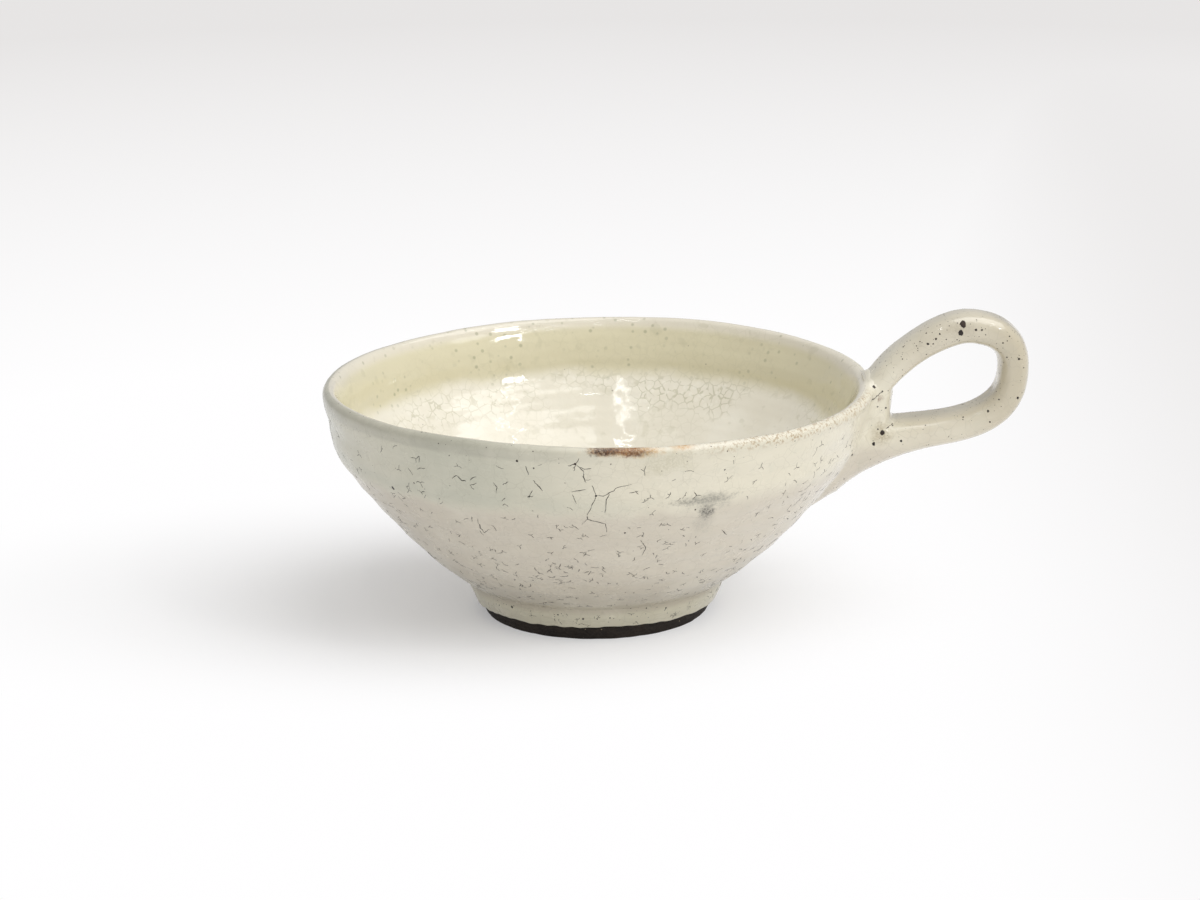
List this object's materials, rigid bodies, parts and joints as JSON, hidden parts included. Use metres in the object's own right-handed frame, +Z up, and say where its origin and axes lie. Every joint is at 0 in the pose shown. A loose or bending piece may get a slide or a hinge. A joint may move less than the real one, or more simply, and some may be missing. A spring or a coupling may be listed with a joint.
{
  "type": "lug soup bowl",
  "caption": "Hand-thrown stoneware soup bowl with one pulled loop handle, crackled cream glaze and a bare dark foot ring.",
  "frame": {"origin": "centre of the foot ring, on the plane of the table it stands on", "axes": "+Z up along the axis the bowl was thrown on, +X from that axis towards the loop handle"},
  "size_m": [0.1799, 0.14, 0.0765],
  "materials": {
    "stoneware": "bare, dark, fine-grained, matt",
    "inner_glaze": "glossy cream glaze with a wide faint crackle",
    "outer_glaze": "satin cream glaze, crackled, with dark specks"
  },
  "bodies": {
    "root": {"bowl_body": "stoneware", "handle_strap": "stoneware", "root_pad": "stoneware", "glaze_inside": "inner_glaze", "glaze_outside": "outer_glaze", "glaze_handle": "outer_glaze"}
  },
  "joints": []
}
